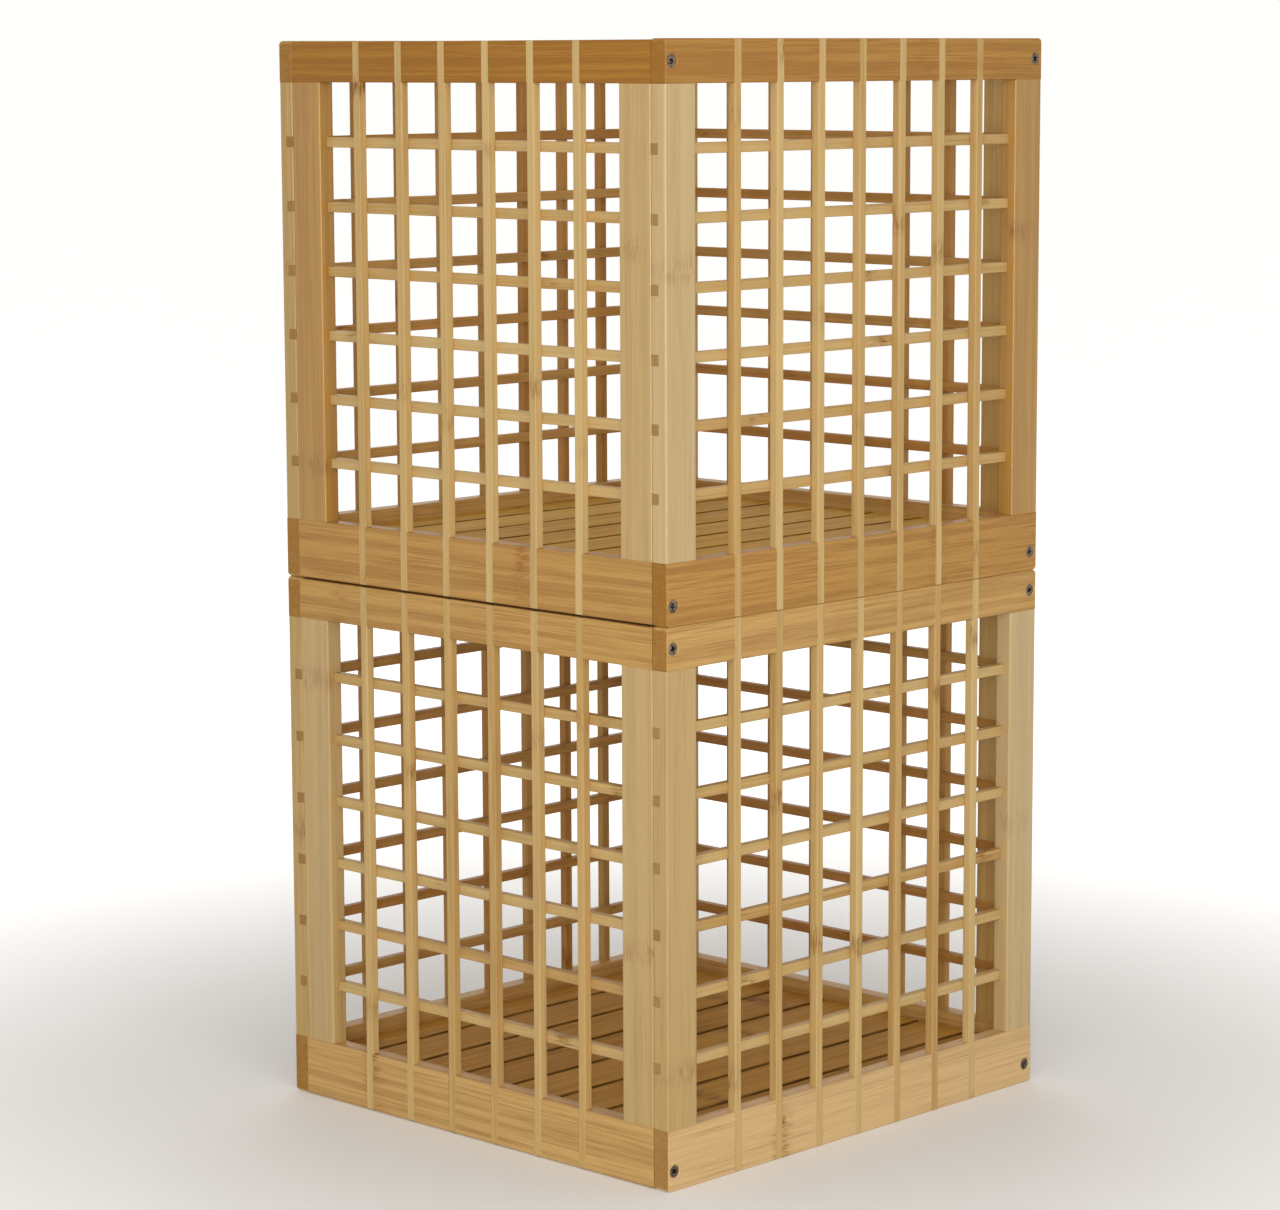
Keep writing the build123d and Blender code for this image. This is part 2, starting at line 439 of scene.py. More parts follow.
# No radius is over this share of a section's narrower side. Places are compared in metres.
ROUNDEST = 0.49
SAME_PLACE = 1e-6
PLACE_DIGITS = 7
PLACE_SLACK = 1e-9


def rounded_off(radius, from_end):
    """What a quarter circle takes off near an end: r - sqrt(r^2 - (r - distance)^2)."""
    return radius - np.sqrt(np.maximum(radius**2 - np.maximum(radius - from_end, 0) ** 2, 0))


def ring_places(start, end, end_ease, tight, crown):
    """The places of a stick's sections, from its start to its end."""
    curve = end_ease * (1 - np.cos(np.linspace(0, np.pi / 2, END_RINGS)))
    places = [start + curve, end - curve]
    if crown:
        curve = crown[2] * (1 - np.cos(np.linspace(CROWN_FIRST, 1, CROWN_RINGS) * np.pi / 2))
        places += [start + curve, end - curve]
    for first, last in tight:
        places.append(np.array([first, first + TIGHT_FADE, last - TIGHT_FADE, last]))
    places = np.unique(np.round(np.concatenate(places), PLACE_DIGITS))
    return places[(places >= start - PLACE_SLACK) & (places <= end + PLACE_SLACK)]


def edge_radii(places, ease, tight, tight_corners):
    """The radius of each of the four corners at each place, almost sharp within the tight stretches."""
    radii = np.full((len(places), 4), float(ease))
    for first, last in tight:
        inside = (places > first + TIGHT_EDGE) | (first <= places[0] + SAME_PLACE)
        inside &= (places < last - TIGHT_EDGE) | (last >= places[-1] - SAME_PLACE)
        for corner in tight_corners:
            radii[inside, corner] = TIGHT_EASE
    return radii


def stick(low, high, along, ease, end_ease, tight=(), tight_corners=(), crown=None):
    """A stick from corner `low` to corner `high`, its grain on axis `along`, as points and faces.

    `ease` is the radius of its long edges, and `end_ease` that of its ends. Between each pair of places
    in `tight`, the corners in `tight_corners` are almost sharp, because another stick meets them there.
    `crown` is (axis, sign, radius): the face on that side curves down to the ends along a quarter circle.
    """
    axes = [(along + 1) % 3, (along + 2) % 3]
    places = ring_places(low[along], high[along], end_ease, tight, crown)
    from_end = np.minimum(places - low[along], high[along] - places)
    inset = rounded_off(end_ease, from_end)
    low_side = np.array([low[axis] for axis in axes]) + inset[:, None]
    high_side = np.array([high[axis] for axis in axes]) - inset[:, None]
    if crown:
        axis, sign, radius = crown
        drop = rounded_off(radius, from_end)
        column = axes.index(axis)
        if sign > 0:
            high_side[:, column] = np.minimum(high_side[:, column], high[axis] - drop)
        else:
            low_side[:, column] = np.maximum(low_side[:, column], low[axis] + drop)
    radii = edge_radii(places, ease, tight, tight_corners)
    radii = np.minimum(radii, ROUNDEST * (high_side - low_side).min(axis=1, keepdims=True))

    ring = sections(low_side, high_side, radii)
    points = np.empty((*ring.shape[:2], 3))
    points[..., axes] = ring
    points[..., along] = places[:, None]
    return points.reshape(-1, 3), skin(*ring.shape[:2])


print("rings that round one end over:", END_RINGS)

# %% [markdown]
# ## From surfaces to pieces
# A piece is one or more sticks in one mesh. Housings, notches and holes are cut with exact booleans,
# which leave the same crisp edges that a saw or a chisel leaves. A Weighted Normal modifier keeps the
# broad faces flat in the light while the eased edges stay smooth.

# %% Make a mesh, cut it, and put it in place of its CAD node
SHARP_ANGLE = math.radians(35)


def mesh_of(name, points, faces):
    """A mesh datablock from an array of points and a list of faces."""
    mesh = bpy.data.meshes.new(name)
    mesh.from_pydata(np.asarray(points).tolist(), [], faces)
    mesh.validate()
    return mesh


def joined(parts):
    """Several (points, faces) as one, with the faces renumbered."""
    shift = np.cumsum([0] + [len(points) for points, _ in parts]).tolist()
    faces = [
        [index + start for index in face]
        for (_, part_faces), start in zip(parts, shift)
        for face in part_faces
    ]
    return np.concatenate([points for points, _ in parts]), faces


def cut_away(mesh, cutter_parts):
    """The mesh less the cutters, by an exact boolean whose result becomes the mesh."""
    wood = bpy.data.objects.new("wood", mesh)
    cutter = bpy.data.objects.new("cutter", mesh_of("cutter", *joined(cutter_parts)))
    for item in (wood, cutter):
        bpy.context.scene.collection.objects.link(item)
    boolean = wood.modifiers.new("cut", "BOOLEAN")
    boolean.solver = "EXACT"
    boolean.operation = "DIFFERENCE"
    boolean.object = cutter
    graph = bpy.context.evaluated_depsgraph_get()
    result = bpy.data.meshes.new_from_object(wood.evaluated_get(graph))
    bpy.data.objects.remove(wood)
    bpy.data.objects.remove(cutter)
    return result


def put(node, mesh, material, suffix="bamboo"):
    """Stand a finished mesh in for a CAD node, on the same body, with the material given."""
    piece = bpy.data.objects.new(f"{node}_{suffix}", mesh)
    bpy.context.scene.collection.objects.link(piece)
    mesh.materials.clear()
    mesh.materials.append(material)
    mesh.shade_smooth()
    mesh.set_sharp_from_angle(angle=SHARP_ANGLE)
    normals = piece.modifiers.new("flat faces", "WEIGHTED_NORMAL")
    normals.keep_sharp = True
    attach(piece, body_of[node])
    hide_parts(node)


body_of = {
    node: body for body, nodes in frame["record"]["behaviour"]["bodies"].items() for node in nodes
}

# %% [markdown]
# ## Each stick's own grain
# The material needs to know, at each point, where in which stick it is. Object coordinates would do for
# one stick, but here a mesh can hold eight, and all of them would continue one pattern, as if sawn from
# one board. So each point carries three attributes. `grain` is its place along and across its stick,
# moved by a random amount for each stick, `tone` is how caramel that stick is, raised on the back and
# right panels as painted shade, and the cut-end attribute is 1 where the wood is cut across and on the
# boards' sides, where it is painted shade in the gaps, and 0 on the lacquered faces.

# %% Grain, tone, cut ends and painted gap shade as attributes
GRAIN_SHIFT = 2.0
MOST_TONE = 0.33
PALE_BIAS = 1.5
STICK_MARGIN = 0.5 * MM
CUT_FADE = 0.35
GAP_SHADE_FADE = 0.4
NODES_PASSED = 3


def attribute(mesh, name, kind, values):
    """Store one value or vector a point."""
    layer = mesh.attributes.new(name, kind, "POINT")
    key = "vector" if kind == "FLOAT_VECTOR" else "value"
    layer.data.foreach_set(key, np.asarray(values, np.float32).ravel())


def drawn_tones(count):
    """A random tone for each stick. A power of a number from 0 to 1 makes most of them pale."""
    return MOST_TONE * rng.uniform(0, 1, count) ** PALE_BIAS


def give_grain(mesh, along, parts, end_ease, tones=None, node_at=None, gap_shade_ease=None):
    """Give each point the three attributes. A point belongs to the stick whose box it is deepest in.

    The cut-end attribute is 1 on a stick's ends and fades to 0 over CUT_FADE of their easing. With the
    gap-shade easing given, a board's sides count too, between their eased edges: there it is painted
    shade in the gaps. `node_at` puts a node of the culm that far from the low end. Tones are drawn even
    where they are given, so that a choice moves no later draw.
    """
    points = np.empty(len(mesh.vertices) * 3)
    mesh.vertices.foreach_get("co", points)
    points = points.reshape(-1, 3)
    lows = np.array([part.min(axis=0) for part, _ in parts])
    highs = np.array([part.max(axis=0) for part, _ in parts])
    middles = (lows + highs) / 2
    reach = (highs - lows) / 2 + STICK_MARGIN
    beyond = np.abs(points[:, None, :] - middles[None]) / reach[None]
    owner = beyond.max(axis=2).argmin(axis=1)

    shift = rng.uniform(0, GRAIN_SHIFT, (len(parts), 3))
    if node_at is not None:
        shift[:, 0] = NODES_PASSED * NODE_SPACING - node_at
    order = [along, (along + 1) % 3, (along + 2) % 3]
    attribute(mesh, "grain", "FLOAT_VECTOR", (points - lows[owner])[:, order] + shift[owner])
    own_tones = drawn_tones(len(parts))
    attribute(mesh, "tone", "FLOAT", (own_tones if tones is None else np.array(tones))[owner])

    from_low = points - lows[owner]
    from_high = highs[owner] - points
    from_end = np.minimum(from_low[:, along], from_high[:, along])
    cut = np.clip(1 - from_end / (CUT_FADE * end_ease), 0, 1)
    # On the boards, the sides between their eased edges get the end colour as painted shade in the gaps.
    if gap_shade_ease:
        below = np.minimum(from_low[:, 2], from_high[:, 2])
        cut = np.maximum(cut, np.clip(below / (GAP_SHADE_FADE * gap_shade_ease), 0, 1))
    attribute(mesh, "cut_end_and_gap_shade", "FLOAT", cut)


print("palest to most caramel tone drawn: 0 to", MOST_TONE)

# %% [markdown]
# ## Where the sticks are
# Each node's box comes from the frame. A node of several sticks, such as the slats of one panel, is
# divided by how many sticks it holds: the first one starts at one end of the box, the last one ends at
# the other, and the rest are evenly spaced between them.

# %% Panels and their layout
SLATS = {"front": 7, "back": 7, "left": 6, "right": 6}
BARS = 6
SLAT_WIDTH = 6 * MM
BAR_HEIGHT = 6.5 * MM
OUTWARD = {"front": (1, -1), "back": (1, 1), "left": (0, -1), "right": (0, 1)}
ENDS = {
    "front": ("left", "right"),
    "back": ("left", "right"),
    "left": ("front", "back"),
    "right": ("front", "back"),
}


def corners(node):
    """A node's lowest and highest corner, as arrays."""
    return [np.array(corner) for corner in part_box(node)]


def spread(low, high, axis, count, size):
    """The boxes of `count` sticks of one size, evenly spaced along an axis of a box."""
    starts = np.linspace(low[axis], high[axis] - size, count)
    lows = np.tile(low, (count, 1))
    highs = np.tile(high, (count, 1))
    lows[:, axis] = starts
    highs[:, axis] = starts + size
    return lows, highs


front_slats = spread(*corners("lower_front_slats"), 0, SLATS["front"], SLAT_WIDTH)
print("slats are", round((front_slats[0][1, 0] - front_slats[1][0, 0]) / MM, 1), "mm apart")

# %% [markdown]
# ## Cutters
# A housing is cut with a plain block, a hair larger than the strip that goes in, so that the joint shows
# as a fine line. The screws sit a little below the face in countersunk holes. Their cutter is a profile
# turned round the screw's axis: a cone of 45 degrees that narrows from the mouth to the shank's hole,
# then a cylinder.

# %% Blocks and turned surfaces
HAIR_GAP = 0.05 * MM
PAST_FACE = 1 * MM
ALMOST_SHARP = 1e-6
HEAD_RADIUS = 3.9 * MM
HOLE_MOUTH = 4.5 * MM
SHANK_HOLE = 2.05 * MM
HOLE_DEPTH = 14 * MM
HOLE_SIDES = 40


def widened(low, high, axis):
    """A box made larger by a hair's gap at both ends of an axis."""
    low, high = low.copy(), high.copy()
    low[axis] -= HAIR_GAP
    high[axis] += HAIR_GAP
    return low, high


def block(low, high):
    """A plain box as points and faces, for cutting with."""
    return stick(low, high, 2, ALMOST_SHARP, ALMOST_SHARP)


def revolved(radius, height, sides, centre, outward):
    """A closed surface: rings of (radius, height) swept round an axis through the centre.

    `outward` is (axis, sign), the way in which height grows. Both arrays have a row for each ring, and
    either a column for each place around or one column for all of them.
    """
    angle = np.arange(sides) * 2 * np.pi / sides
    axis, sign = outward
    points = np.zeros((len(radius), sides, 3))
    points[..., (axis + 1) % 3] = radius * np.cos(angle)
    points[..., (axis + 2) % 3] = radius * np.sin(angle)
    points[..., axis] = sign * height
    points += centre
    faces = skin(len(radius), sides)
    if sign * (height[-1, 0] - height[0, 0]) < 0:
        faces = [face[::-1] for face in faces]
    return points.reshape(-1, 3), faces


def hole_cutter(mouth, outward):
    """What a countersink bit and a drill take out, from above the face to behind the panel."""
    cone = HOLE_MOUTH - SHANK_HOLE
    radius = np.array([SHANK_HOLE, SHANK_HOLE, HOLE_MOUTH, HOLE_MOUTH + PAST_FACE])
    height = np.array([-HOLE_DEPTH, -cone, 0, PAST_FACE])
    return revolved(radius[:, None], height[:, None], HOLE_SIDES, mouth, outward)


def screw_mouths(crate, side):
    """Where the axes of a panel's screws meet its outer face."""
    low, high = corners(f"{crate}_panel_screws")
    axis, sign = OUTWARD[side]
    face = corners(f"{crate}_{side}_top_rail")[0 if sign < 0 else 1][axis]
    return [
        np.array([x, face, z])
        for x in (low[0] + HEAD_RADIUS, high[0] - HEAD_RADIUS)
        for z in (low[2] + HEAD_RADIUS, high[2] - HEAD_RADIUS)
    ]


print("screw holes in a front panel:", len(screw_mouths("lower", "front")))

# %% [markdown]
# ## Tones of the sticks, and painted shade on the far panels
# The most caramel rails and stiles are in the upper crate, and each bottom rail is paler than the top
# rail of its panel. The back and right panels get a darker, more caramel tone as painted shade, for their
# inner faces, which are seen in shade through the near lattice. The tone of the big sticks that show most
# is chosen one by one. The others get the tone of their panel, or a random one.

# %% Tones and nodes of the big sticks
# How caramel each stick is, from 0, palest, to 1.
TONES = {
    "upper_left_top_rail": 1.0,
    "upper_front_top_rail": 0.85,
    "upper_left_bottom_rail": 0.67,
    "upper_front_bottom_rail": 0.76,
    "lower_left_top_rail": 0.61,
    "lower_front_top_rail": 0.5,
    "lower_left_bottom_rail": 0.46,
    "lower_front_bottom_rail": 0.14,
    "upper_left_back_stile": 0.95,
    "upper_left_front_stile": 0.32,
    "upper_front_left_stile": 0.1,
    "upper_front_right_stile": 0.95,
    "lower_left_back_stile": 0.3,
    "lower_left_front_stile": 0.3,
    "lower_front_left_stile": 0.35,
    "lower_front_right_stile": 0.1,
}

# The tone of the big sticks in the back and right panels, which is also added to their strips' tones.
# It is painted shade: it darkens these far panels, whose inner faces are seen in shade through the
# lattice.
FAR_SHADE_TONE = 0.5
SHADED_FAR_SIDES = ("back", "right")

# Where a node of the culm crosses those that show one, from the stick's low end.
NODES = {
    "upper_left_bottom_rail": 109 * MM,
    "lower_left_top_rail": 277 * MM,
    "upper_front_left_stile": 171 * MM,
    "lower_front_bottom_rail": 102 * MM,
    "lower_left_front_stile": 107 * MM,
}


def chosen(node, side):
    """The tone, as a list of one, and the place of the node that were chosen for a big stick, or None."""
    # Big sticks of the back and right panels without a tone of their own get the painted-shade tone.
    tone = TONES.get(node, FAR_SHADE_TONE if side in SHADED_FAR_SIDES else None)
    return None if tone is None else [tone], NODES.get(node)


print("sticks with a tone of their own:", len(TONES))

# %% [markdown]
# ## Rails and stiles
# Rails run the whole length of a panel, with a housing across them for each slat. Stiles stand between
# the rails, notched on their inner face for the bars. The outer corners of the front and back rails are
# rounded, because crates are carried by them. Where a stile meets a rail, the rail's edge is left sharp,
# so that the two faces run on as one.

# %% Build a rail and a stile
RAIL_EASE = 0.9 * MM
RAIL_BUTT = 0.3 * MM
STILE_EASE = 1.4 * MM
STILE_BUTT = 0.15 * MM
CORNER_ROUND = 3.0 * MM


def build_rail(crate, side, level, slats, stile_reach):
    """A top or bottom rail, with its housings and, on front and back, its screw holes."""
    node = f"{crate}_{side}_{level}_rail"
    low, high = corners(node)
    axis, sign = OUTWARD[side]
    along = 1 - axis
    full_width = side in ("front", "back")
    lattice_side = -1 if level == "top" else 1
    tight = [(low[along], low[along] + stile_reach), (high[along] - stile_reach, high[along])]
    crown = (2, -lattice_side, CORNER_ROUND) if full_width else None
    end_ease = RAIL_EASE if full_width else RAIL_BUTT
    part = stick(
        low, high, along, RAIL_EASE, end_ease, tight, corners_on(along, 2, lattice_side), crown
    )
    cutters = []
    for slat_low, slat_high in zip(*slats):
        box_low, box_high = widened(slat_low, slat_high, along)
        box_low[2] = low[2] - PAST_FACE
        box_high[2] = high[2] + PAST_FACE
        (box_low if sign < 0 else box_high)[axis] += sign * PAST_FACE
        cutters.append(block(box_low, box_high))
    if full_width:
        holes = [mouth for mouth in screw_mouths(crate, side) if low[2] < mouth[2] < high[2]]
        cutters += [hole_cutter(mouth, (axis, sign)) for mouth in holes]
    mesh = cut_away(mesh_of(node, *part), cutters)
    give_grain(mesh, along, [part], end_ease, *chosen(node, side))
    put(node, mesh, rail_bamboo)


def build_stile(crate, side, end, bars):
    """An upright of the frame, notched for the bars."""
    node = f"{crate}_{side}_{end}_stile"
    low, high = corners(node)
    axis, sign = OUTWARD[side]
    part = stick(low, high, 2, STILE_EASE, STILE_BUTT)
    cutters = []
    for bar_low, bar_high in zip(*bars):
        box_low, box_high = widened(bar_low, bar_high, 2)
        (box_high if sign < 0 else box_low)[axis] -= sign * PAST_FACE
        box_low[1 - axis] -= PAST_FACE
        box_high[1 - axis] += PAST_FACE
        cutters.append(block(box_low, box_high))
    mesh = cut_away(mesh_of(node, *part), cutters)
    give_grain(mesh, 2, [part], STILE_BUTT, *chosen(node, side))
    put(node, mesh, stile_bamboo)


print("rail and stile edges eased by", RAIL_EASE / MM, "and", STILE_EASE / MM, "mm")

# %% [markdown]
# ## Slats, bars and whole panels
# Slats and bars are the thin strips of the lattice. They are sharp-edged where they are let in, and
# eased where they run free. Slats are let in flush, up to a tenth of a millimetre shy, as hand-sanded
# strips end up. A panel is built rails first, then stiles, then strips.

# %% Build every panel
STRIP_EASE = 0.7 * MM
BAR_BUTT = 0.25 * MM
MOST_SHY = 0.10 * MM
LEAST_SHY_SHARE = 0.3


def build_strips(node, side, boxes, along, tight, end_ease):
    """The slats or the bars of one panel."""
    parts = [
        stick(low, high, along, STRIP_EASE, end_ease, tight, range(4)) for low, high in zip(*boxes)
    ]
    mesh = mesh_of(node, *joined(parts))
    # The strips of the back and right panels are darkened by the painted-shade tone.
    tones = FAR_SHADE_TONE * (side in SHADED_FAR_SIDES) + drawn_tones(len(parts))
    give_grain(mesh, along, parts, end_ease, tones)
    put(node, mesh, strip_bamboo)


def build_panel(crate, side):
    """All the sticks of one panel."""
    axis, sign = OUTWARD[side]
    along = 1 - axis
    prefix = f"{crate}_{side}"
    slats = spread(*corners(f"{prefix}_slats"), along, SLATS[side], SLAT_WIDTH)
    bars = spread(*corners(f"{prefix}_bars"), 2, BARS, BAR_HEIGHT)
    stile_low, stile_high = corners(f"{prefix}_{ENDS[side][0]}_stile")
    reach = (stile_high - stile_low)[along]
    for level in ("top", "bottom"):
        build_rail(crate, side, level, slats, reach)
    for end in ENDS[side]:
        build_stile(crate, side, end, bars)

    sunk = [boxes.copy() for boxes in slats]
    shyness = rng.uniform(LEAST_SHY_SHARE, 1.0, SLATS[side]) * MOST_SHY
    sunk[0 if sign < 0 else 1][:, axis] -= sign * shyness
    rails = [(sunk[0][0, 2], stile_low[2]), (stile_high[2], sunk[1][0, 2])]
    build_strips(f"{prefix}_slats", side, sunk, 2, rails, STRIP_EASE)
    start, end = bars[0][0, along], bars[1][0, along]
    stiles = [(start, start + reach), (end - reach, end)]
    build_strips(f"{prefix}_bars", side, bars, along, stiles, BAR_BUTT)


for crate in CRATES:
    for side in SIDES:
        build_panel(crate, side)
print("sticks in the panels:", 2 * sum(SLATS[side] + BARS + 4 for side in SIDES))

# %% [markdown]
# ## The floor
# Eight boards lie across each crate with narrow gaps, so that dust and damp fall through. The outer two
# are ripped narrower to fill what is left. They rest on a cleat along each side panel. The boards' sides
# get the dark end-grain colour as painted shade, so each gap shows as a dark line with crisp edges.

# %% Boards and cleats
BOARD_PITCH = 42.3 * MM
BOARD_GAP = 4 * MM
FULL_BOARDS = 6
BOARD_EASE = 0.7 * MM
BOARD_END = 0.6 * MM


def build_boards(crate):
    """The floor's boards: six full ones about the middle, and one narrower one at each edge."""
    node = f"{crate}_floor_boards"
    low, high = corners(node)
    gaps = (np.arange(FULL_BOARDS + 1) - FULL_BOARDS / 2) * BOARD_PITCH
    starts = np.concatenate([[low[1]], gaps + BOARD_GAP / 2])
    ends = np.concatenate([gaps - BOARD_GAP / 2, [high[1]]])
    parts = []
    for start, end in zip(starts, ends):
        board_low = np.array([low[0], start, low[2]])
        board_high = np.array([high[0], end, high[2]])
        parts.append(stick(board_low, board_high, 0, BOARD_EASE, BOARD_END))
    mesh = mesh_of(node, *joined(parts))
    give_grain(mesh, 0, parts, BOARD_END, gap_shade_ease=BOARD_EASE)
    put(node, mesh, board_bamboo[crate])


def build_cleat(crate, side):
    """The strip that carries the boards' ends on one side."""
    node = f"{crate}_{side}_floor_cleat"
    cleat = stick(*corners(node), 1, RAIL_EASE, RAIL_EASE)
    mesh = mesh_of(node, *cleat)
    give_grain(mesh, 1, [cleat], RAIL_EASE)
    put(node, mesh, board_bamboo[crate])


for crate in CRATES:
    build_boards(crate)
    for side in ("left", "right"):
        build_cleat(crate, side)
print("boards in each floor:", FULL_BOARDS + 2)

# %% [markdown]
# ## The steel of the screws
# The screws are pressed steel, plated in dark bronze zinc. Plating is a metal to the eye: coloured,
# satin, and rubbed a little paler and duller in patches about a millimetre across.

# %% Screw material
RUB_SIZE = 1.1 * MM


def plated_steel(name, dark, worn):
    """Dark zinc plating over pressed steel, with paler rubbed patches from one noise."""
    material = bpy.data.materials.new(name)
    material.use_nodes = True
    tree = material.node_tree
    tree.nodes.clear()
    place = add(tree, "TexCoord", None, "Object")
    patches = add(tree, "TexNoise", Vector=place, Scale=1 / RUB_SIZE, Detail=3.0)
    share = add(tree, "MapRange", SMOOTH, Value=patches, From_Min=0.35, From_Max=0.7)
    colour = add(tree, "Mix", BLEND, COLOUR_OUT, in0=share, in6=linear(dark), in7=linear(worn))
    roughness = add(
        tree, "MapRange", Value=patches, From_Min=0.3, From_Max=0.7, To_Min=0.24, To_Max=0.42
    )
    shader = add(tree, "BsdfPrincipled", Base_Color=colour, Metallic=1.0, Roughness=roughness)
    add(tree, "OutputMaterial", Surface=shader)
    return material


screw_steel = plated_steel("bronze_zinc_plated_steel", "#4e453c", "#8d8072")
print("screw material:", screw_steel.name)

# %% [markdown]
# ## The screws
# Countersunk wood screws with a cross recess. A screw could be built from a cylinder, a cone and a
# separate helix. Here it is one surface of two parameters, the turn round its axis and the way down its
# profile. On the head, the height dips inside a cross. On the shank, the radius swells where the helix
# of the thread passes.

# %% Screw shape
HEAD_SINK = 0.6 * MM
SCREW_LENGTH = 30 * MM
SCREW_SIDES = 48
ROOT_RADIUS = 1.45 * MM
THREAD_RADIUS = 1.98 * MM
THREAD_PITCH = 1.8 * MM
THREAD_START = 9 * MM
THREAD_HALF = 0.22
THREAD_FADE_IN = 2 * MM
THREAD_FADE_OUT = 3 * MM
RECESS_REACH = 2.3 * MM
RECESS_HALF = 0.5 * MM
RECESS_DEPTH = 1.7 * MM
RECESS_SLOPE = 0.12 * MM
RECESS_RUNOUT = 0.9 * MM
FACE_SPAN = (0.06, 0.95)
FACE_RINGS = 26
SHANK_RINGS = 90
TIP_TAPER = (0.96, 0.05)
TIP_RINGS = 10
SHANK_TOP = 2.6 * MM
SHANK_END = SCREW_LENGTH - 4 * MM
TIP_TOP = SCREW_LENGTH - 3.7 * MM

# From the rim to the cone's foot: the radius as a share of the head's, and the depth below the face.
RIM = [(0.99, 0.05 * MM), (1.0, 0.12 * MM), (0.985, 0.3 * MM), (ROOT_RADIUS / HEAD_RADIUS, 2.5 * MM)]


def smooth(value):
    """Zero below 0, one above 1, and 3t^2 - 2t^3 between them."""
    t = np.clip(value, 0, 1)
    return t * t * (3 - 2 * t)


def screw_profile():
    """The radius and depth of each ring: the head's face, its rim and cone, the shank, and the tip."""
    face = np.linspace(*FACE_SPAN, FACE_RINGS) * HEAD_RADIUS
    tip = ROOT_RADIUS * np.linspace(*TIP_TAPER, TIP_RINGS)
    rim_radius, rim_depth = np.array(RIM).T
    radius = np.concatenate([face, rim_radius * HEAD_RADIUS, np.full(SHANK_RINGS, ROOT_RADIUS), tip])
    shank_depth = np.linspace(SHANK_TOP, SHANK_END, SHANK_RINGS)
    tip_depth = np.linspace(TIP_TOP, SCREW_LENGTH, TIP_RINGS)
    depth = np.concatenate([np.zeros(FACE_RINGS), rim_depth, shank_depth, tip_depth])
    return radius[:, None], depth[:, None]


def screw(mouth, outward, twist):
    """One screw, its head's face HEAD_SINK below the mouth, as points and faces.

    The shank's radius is the root's, plus a ridge where the phase (depth / pitch - turn) is near a half.
    The face dips by the recess's depth where the smaller offset from the cross's arms is within
    RECESS_HALF and the larger is within RECESS_REACH.
    """
    radius, depth = screw_profile()
    turn = np.arange(SCREW_SIDES) * 2 * np.pi / SCREW_SIDES
    phase = (depth / THREAD_PITCH - turn / (2 * np.pi)) % 1.0
    ridge = np.maximum(1 - np.abs(phase - 0.5) / THREAD_HALF, 0)
    fade_in = smooth((depth - THREAD_START) / THREAD_FADE_IN)
    fade_out = smooth((SCREW_LENGTH - depth) / THREAD_FADE_OUT)
    radius = radius + (THREAD_RADIUS - ROOT_RADIUS) * ridge * (fade_in * fade_out)
    side = np.abs(radius * np.cos(turn + twist))
    other = np.abs(radius * np.sin(turn + twist))
    slot = smooth((RECESS_HALF + RECESS_SLOPE - np.minimum(side, other)) / (2 * RECESS_SLOPE))
    reach = smooth((RECESS_REACH - np.maximum(side, other)) / RECESS_RUNOUT)
    on_face = (np.arange(len(radius)) < FACE_RINGS)[:, None]
    depth = depth + on_face * RECESS_DEPTH * slot * reach
    return revolved(radius, -(depth + HEAD_SINK), SCREW_SIDES, mouth, outward)


for crate in CRATES:
    screws = [
        screw(mouth, OUTWARD[side], rng.uniform(0, np.pi / 2))
        for side in ("front", "back")
        for mouth in screw_mouths(crate, side)
    ]
    node = f"{crate}_panel_screws"
    put(node, mesh_of(node, *joined(screws)), screw_steel, "turned")
print("screws:", 2 * len(screws))

# %% [markdown]
# ## The studio floor
# The floor is a wide pale dish: flat under the crates and rising gently far away, so that it has no
# horizon from any side. A plane and a plain world would show a line where they meet. Away from the
# crates the paper also glows a little, as a lit backdrop does, so that it stays near white. That glow
# doesn't light the crates, which would wash out the shade inside them.

# %% Floor
CENTRE_RADIUS = 0.01
INNER_RADIUS = 0.5
FLAT_RADIUS = 5.0
FLAT_RINGS = 6
DISH_RADIUS = 12.0
DISH_HEIGHT = 7.0
DISH_RINGS = 30
DISH_SIDES = 96
PAPER_ROUGHNESS = 0.9
PAPER_GLOW = 0.56
GLOW_FROM = 0.25
GLOW_FULL = 1.0


def dish():
    """A surface of revolution: flat out to FLAT_RADIUS, then height grows as the square of the way out."""
    flat = np.linspace(INNER_RADIUS, FLAT_RADIUS, FLAT_RINGS)
    slope = np.linspace(FLAT_RADIUS, DISH_RADIUS, DISH_RINGS)[1:]
    out = np.concatenate([[CENTRE_RADIUS], flat, slope])[:, None]
    rise = np.maximum((out - FLAT_RADIUS) / (DISH_RADIUS - FLAT_RADIUS), 0) ** 2 * DISH_HEIGHT
    points, faces = revolved(out, rise, DISH_SIDES, (0, 0, 0), (2, 1))
    open_topped = faces[:-1]
    return points, [face[::-1] for face in open_topped]


paper = bpy.data.materials.new("pale_studio_paper")
paper.use_nodes = True
paper_shader = paper.node_tree.nodes["Principled BSDF"]
paper_shader.inputs["Base Color"].default_value = linear("#f4f3f1")
paper_shader.inputs["Roughness"].default_value = PAPER_ROUGHNESS
paper_shader.inputs["Emission Color"].default_value = linear("#fbfaf8")
place = add(paper.node_tree, "TexCoord", None, "Object")
way_out = add(paper.node_tree, "VectorMath", {"operation": "LENGTH"}, "Value", in0=place)
glow = add(
    paper.node_tree,
    "MapRange",
    SMOOTH,
    Value=way_out,
    From_Min=GLOW_FROM,
    From_Max=GLOW_FULL,
    To_Max=PAPER_GLOW,
)
paper.node_tree.links.new(glow, paper_shader.inputs["Emission Strength"])
floor = bpy.data.objects.new("studio_floor", mesh_of("studio_floor", *dish()))
bpy.context.scene.collection.objects.link(floor)
floor.data.materials.append(paper)
floor.data.shade_smooth()
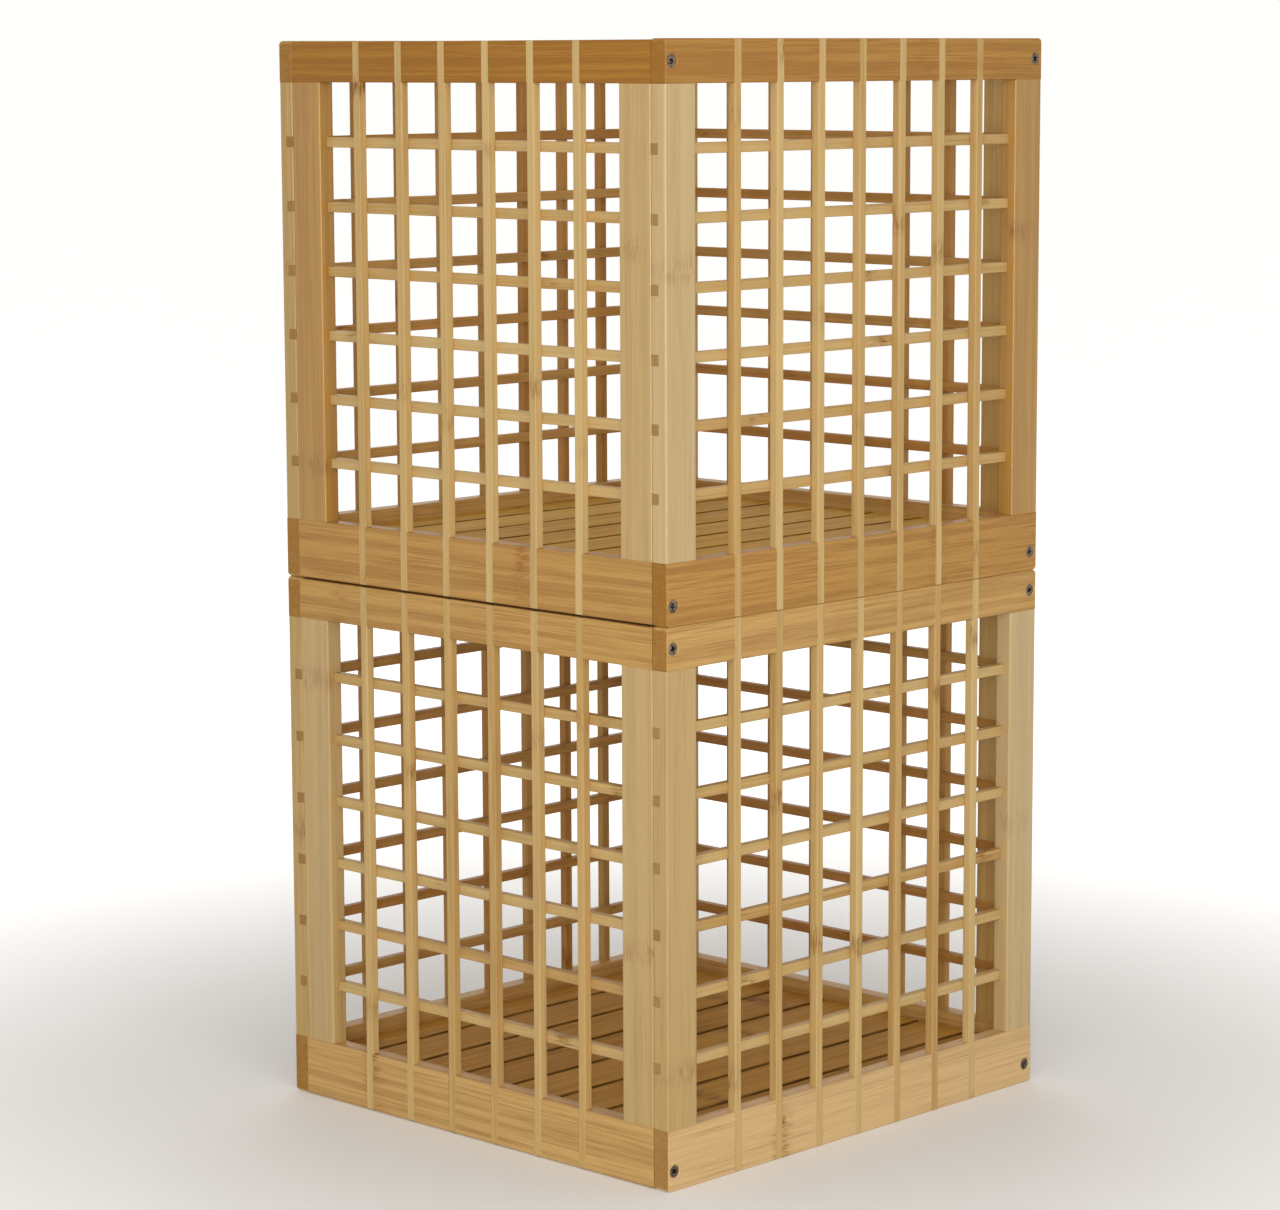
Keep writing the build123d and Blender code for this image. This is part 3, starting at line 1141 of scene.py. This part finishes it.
floor.visible_diffuse = False
print("floor points:", len(floor.data.vertices))

# %% [markdown]
# ## The lamps
# Large lamps give soft shadows. A key and a weaker fill light the two faces that the camera sees, and a
# tall narrow one close to the camera draws bright lines on the rounded edges of the corner. One stands
# behind, so that the far sides are lit too, and a very large one overhead lights the floors. A pale
# world fills in the rest.

# %% Lamps and world
AIM_AT = (0.0, 0.0, 0.34)
NEARLY_UPRIGHT = 0.99
WORLD_STRENGTH = 0.52


def soft_light(name, place, size, watts, colour):
    """An area light of a width and height, at a place, facing the middle of the crates."""
    light = bpy.data.lights.new(name, "AREA")
    light.shape = "RECTANGLE"
    light.size, light.size_y = size
    light.energy = watts
    light.color = linear(colour)[:3]
    lamp = bpy.data.objects.new(name, light)
    lamp.visible_camera = False
    bpy.context.scene.collection.objects.link(lamp)
    back = np.array(place) - AIM_AT
    back /= np.linalg.norm(back)
    right = np.cross((0.0, 0.0, 1.0) if abs(back[2]) < NEARLY_UPRIGHT else (0.0, 1.0, 0.0), back)
    right /= np.linalg.norm(right)
    matrix = np.eye(4)
    matrix[:3, :3] = np.column_stack([right, np.cross(back, right), back])
    matrix[:3, 3] = place
    lamp.matrix_world = Matrix(matrix.tolist())


soft_light("key", (-0.95, -2.0, 1.1), (1.2, 1.2), 10, "#fffaf2")
soft_light("fill", (-2.0, -1.05, 1.0), (1.2, 1.2), 6.3, "#fffdf9")
soft_light("strip", (-1.75, -1.65, 0.3), (0.25, 1.6), 28, "#ffffff")
soft_light("back", (1.6, 1.8, 1.4), (1.6, 1.6), 8, "#ffffff")
soft_light("overhead", (0.0, 0.0, 3.2), (2.6, 2.6), 7, "#ffffff")
world = bpy.data.worlds.new("pale_sky")
world.use_nodes = True
world.node_tree.nodes["Background"].inputs["Color"].default_value = linear("#fbfaf8")
world.node_tree.nodes["Background"].inputs["Strength"].default_value = WORLD_STRENGTH
bpy.context.scene.world = world
bpy.context.scene.view_settings.view_transform = "Standard"
print("lamps:", len(bpy.data.lights))
